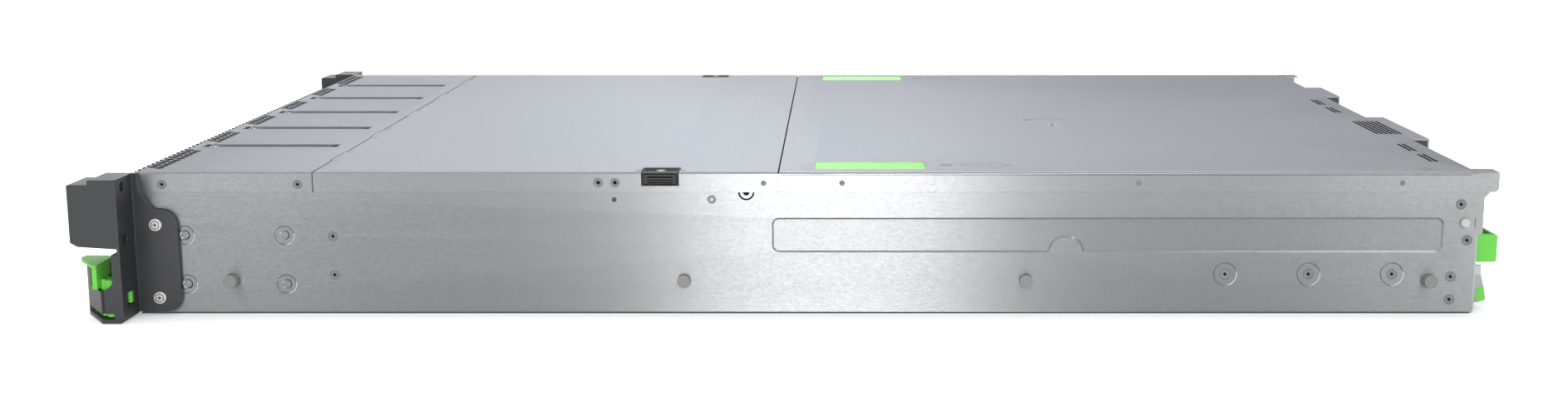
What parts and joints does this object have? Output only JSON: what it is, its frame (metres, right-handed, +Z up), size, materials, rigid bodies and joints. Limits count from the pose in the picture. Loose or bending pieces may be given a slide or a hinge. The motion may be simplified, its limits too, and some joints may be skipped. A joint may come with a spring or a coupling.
{
  "type": "rack server",
  "caption": "Two-unit rack server: bright sheet-metal case with hinged and sliding covers, rack ears with green release levers, drives, fans and pull-out power supplies.",
  "frame": {"origin": "middle of the overall box, on the underside", "axes": "+Y from the front with the rack ears to the rear, +Z up, +X towards the side seen in the picture"},
  "size_m": [0.4826, 0.8576, 0.087],
  "materials": {
    "bright_steel": "satin zinc-plated sheet",
    "polished_steel": "bright turned steel",
    "dark_metal": "satin black paint",
    "black_plastic": "fine moulded grain",
    "green_plastic": "smooth moulded",
    "pale_plastic": "smooth moulded",
    "circuit_board": "solder resist",
    "fin_metal": "plain drawn"
  },
  "bodies": {
    "chassis": {"chassis_tray": "bright_steel", "front_top_panel": "bright_steel", "rear_panel": "bright_steel", "card_blanks": "bright_steel", "drive_cage": "bright_steel", "fan_cage": "bright_steel", "supply_cage": "bright_steel", "rail_studs": "polished_steel", "ear_screws": "polished_steel", "board_standoffs": "polished_steel", "rear_sockets": "polished_steel", "front_sockets": "polished_steel", "processors": "polished_steel", "ear_bracket_right": "dark_metal", "ear_bracket_left": "dark_metal", "ear_block_right": "black_plastic", "ear_block_left": "black_plastic", "ear_housing_right": "black_plastic", "ear_housing_left": "black_plastic", "bay_blanks": "black_plastic", "fan_frames": "black_plastic", "drive_plugs": "black_plastic", "memory_modules": "black_plastic", "backplane": "circuit_board", "main_board": "circuit_board", "riser_cards": "circuit_board", "heatsinks": "fin_metal"},
    "middle_cover": {"middle_cover": "bright_steel"},
    "latch_right": {"latch_tongue_right": "bright_steel", "latch_pad_right": "black_plastic"},
    "latch_left": {"latch_tongue_left": "bright_steel", "latch_pad_left": "black_plastic"},
    "rear_cover": {"rear_cover": "bright_steel", "push_pads": "green_plastic"},
    "cover_lock": {"cover_lock": "polished_steel"},
    "ear_lever_right": {"ear_lever_right": "green_plastic"},
    "ear_lever_left": {"ear_lever_left": "green_plastic"},
    "power_button": {"power_button": "pale_plastic"},
    "ident_button": {"ident_button": "pale_plastic"},
    "fan_rotor_1": {"fan_rotor_1": "black_plastic"},
    "fan_rotor_2": {"fan_rotor_2": "black_plastic"},
    "fan_rotor_3": {"fan_rotor_3": "black_plastic"},
    "fan_rotor_4": {"fan_rotor_4": "black_plastic"},
    "fan_rotor_5": {"fan_rotor_5": "black_plastic"},
    "fan_rotor_6": {"fan_rotor_6": "black_plastic"},
    "drive_1": {"drive_1": "black_plastic"},
    "drive_grip_1": {"drive_grip_1": "green_plastic"},
    "drive_2": {"drive_2": "black_plastic"},
    "drive_grip_2": {"drive_grip_2": "green_plastic"},
    "drive_3": {"drive_3": "black_plastic"},
    "drive_grip_3": {"drive_grip_3": "green_plastic"},
    "drive_4": {"drive_4": "black_plastic"},
    "drive_grip_4": {"drive_grip_4": "green_plastic"},
    "supply_1": {"supply_case_1": "bright_steel", "supply_handle_1": "green_plastic"},
    "supply_cam_1": {"supply_cam_1": "polished_steel"},
    "supply_2": {"supply_case_2": "bright_steel", "supply_handle_2": "green_plastic"},
    "supply_cam_2": {"supply_cam_2": "polished_steel"}
  },
  "joints": [
    {"name": "middle_cover_hinge", "type": "hinge", "parent": "chassis", "child": "middle_cover", "pos_m": [0, -0.28785, 0.0865], "axis": [1, 0, 0], "range_deg": [0, 60]},
    {"name": "latch_right_press", "type": "slide", "parent": "middle_cover", "child": "latch_right", "axis": [-1, 0, 0], "range_m": [0, 0.002], "stiffness_N_per_m": 300},
    {"name": "latch_left_press", "type": "slide", "parent": "middle_cover", "child": "latch_left", "axis": [1, 0, 0], "range_m": [0, 0.002], "stiffness_N_per_m": 300},
    {"name": "rear_cover_slide", "type": "slide", "parent": "chassis", "child": "rear_cover", "axis": [0, 1, 0], "range_m": [0, 0.02]},
    {"name": "cover_lock_turn", "type": "hinge", "parent": "rear_cover", "child": "cover_lock", "pos_m": [0.045, 0.17815, 0.087], "axis": [0, 0, 1], "range_deg": [0, 90]},
    {"name": "ear_lever_right_turn", "type": "hinge", "parent": "chassis", "child": "ear_lever_right", "pos_m": [0.2352, -0.40455, 0.0176], "axis": [0, 0, 1], "range_deg": [-8, 0], "stiffness_Nm_per_rad": 0.5},
    {"name": "ear_lever_left_turn", "type": "hinge", "parent": "chassis", "child": "ear_lever_left", "pos_m": [-0.2352, -0.40455, 0.0176], "axis": [0, 0, 1], "range_deg": [0, 8], "stiffness_Nm_per_rad": 0.5},
    {"name": "power_button_press", "type": "slide", "parent": "chassis", "child": "power_button", "axis": [0, 1, 0], "range_m": [0, 0.0015], "stiffness_N_per_m": 400},
    {"name": "ident_button_press", "type": "slide", "parent": "chassis", "child": "ident_button", "axis": [0, 1, 0], "range_m": [0, 0.0015], "stiffness_N_per_m": 400},
    {"name": "fan_rotor_1_spin", "type": "hinge", "parent": "chassis", "child": "fan_rotor_1", "pos_m": [-0.175, -0.23735, 0.0332], "axis": [0, 1, 0], "continuous": true},
    {"name": "fan_rotor_2_spin", "type": "hinge", "parent": "chassis", "child": "fan_rotor_2", "pos_m": [-0.105, -0.23735, 0.0332], "axis": [0, 1, 0], "continuous": true},
    {"name": "fan_rotor_3_spin", "type": "hinge", "parent": "chassis", "child": "fan_rotor_3", "pos_m": [-0.035, -0.23735, 0.0332], "axis": [0, 1, 0], "continuous": true},
    {"name": "fan_rotor_4_spin", "type": "hinge", "parent": "chassis", "child": "fan_rotor_4", "pos_m": [0.035, -0.23735, 0.0332], "axis": [0, 1, 0], "continuous": true},
    {"name": "fan_rotor_5_spin", "type": "hinge", "parent": "chassis", "child": "fan_rotor_5", "pos_m": [0.105, -0.23735, 0.0332], "axis": [0, 1, 0], "continuous": true},
    {"name": "fan_rotor_6_spin", "type": "hinge", "parent": "chassis", "child": "fan_rotor_6", "pos_m": [0.175, -0.23735, 0.0332], "axis": [0, 1, 0], "continuous": true},
    {"name": "drive_1_slide", "type": "slide", "parent": "chassis", "child": "drive_1", "axis": [0, -1, 0], "range_m": [0, 0.12]},
    {"name": "drive_grip_1_fold", "type": "hinge", "parent": "drive_1", "child": "drive_grip_1", "pos_m": [0.14833, -0.40145, 0.0139], "axis": [1, 0, 0], "range_deg": [0, 60]},
    {"name": "drive_2_slide", "type": "slide", "parent": "chassis", "child": "drive_2", "axis": [0, -1, 0], "range_m": [0, 0.12]},
    {"name": "drive_grip_2_fold", "type": "hinge", "parent": "drive_2", "child": "drive_grip_2", "pos_m": [0.16578, -0.40145, 0.0139], "axis": [1, 0, 0], "range_deg": [0, 60]},
    {"name": "drive_3_slide", "type": "slide", "parent": "chassis", "child": "drive_3", "axis": [0, -1, 0], "range_m": [0, 0.12]},
    {"name": "drive_grip_3_fold", "type": "hinge", "parent": "drive_3", "child": "drive_grip_3", "pos_m": [0.18322, -0.40145, 0.0139], "axis": [1, 0, 0], "range_deg": [0, 60]},
    {"name": "drive_4_slide", "type": "slide", "parent": "chassis", "child": "drive_4", "axis": [0, -1, 0], "range_m": [0, 0.12]},
    {"name": "drive_grip_4_fold", "type": "hinge", "parent": "drive_4", "child": "drive_grip_4", "pos_m": [0.20067, -0.40145, 0.0139], "axis": [1, 0, 0], "range_deg": [0, 60]},
    {"name": "supply_1_slide", "type": "slide", "parent": "chassis", "child": "supply_1", "axis": [0, 1, 0], "range_m": [0, 0.15]},
    {"name": "supply_cam_1_swing", "type": "hinge", "parent": "supply_1", "child": "supply_cam_1", "pos_m": [0.2025, 0.41645, 0.0252], "axis": [1, 0, 0], "range_deg": [0, 50]},
    {"name": "supply_2_slide", "type": "slide", "parent": "chassis", "child": "supply_2", "axis": [0, 1, 0], "range_m": [0, 0.15]},
    {"name": "supply_cam_2_swing", "type": "hinge", "parent": "supply_2", "child": "supply_cam_2", "pos_m": [0.1275, 0.41645, 0.0252], "axis": [1, 0, 0], "range_deg": [0, 50]}
  ]
}
